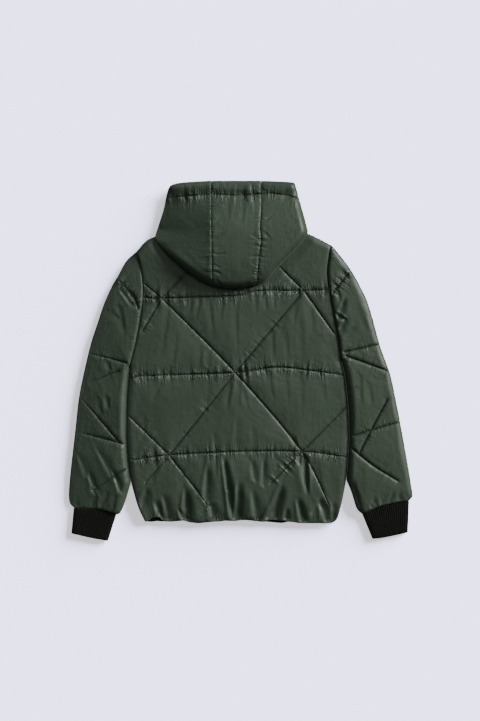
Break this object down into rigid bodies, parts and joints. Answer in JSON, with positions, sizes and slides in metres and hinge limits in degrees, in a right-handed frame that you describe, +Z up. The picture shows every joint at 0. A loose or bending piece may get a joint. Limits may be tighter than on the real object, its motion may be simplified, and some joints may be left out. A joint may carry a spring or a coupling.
{
  "type": "hooded quilted jacket",
  "caption": "Padded quilted jacket with a three-panel hood, gathered hem and rib cuffs, zipped and laid face down.",
  "frame": {"origin": "on the surface the jacket lies on, under the middle of its outline", "axes": "+Z up from the surface, +Y from the hem towards the hood, +X to the right of somebody looking down at the jacket's back"},
  "size_m": [0.857, 0.898, 0.0621],
  "materials": {
    "shell": "dark green woven nylon with a soft satin sheen",
    "rib": "black rib knit, matt",
    "facing": "black woven facing, matt",
    "zip_tape": "woven zip tape and moulded chain",
    "zip_metal": "dark plated zip slider"
  },
  "bodies": {
    "root": {"back": "shell", "front_left": "shell", "front_right": "shell", "sleeve_left": "shell", "sleeve_right": "shell", "cuff_left": "rib", "cuff_right": "rib", "hood_centre": "shell", "hood_left": "shell", "hood_right": "shell", "hood_under": "shell", "hem_facing": "facing", "zip": "zip_tape", "zip_slider": "zip_metal"}
  },
  "joints": []
}
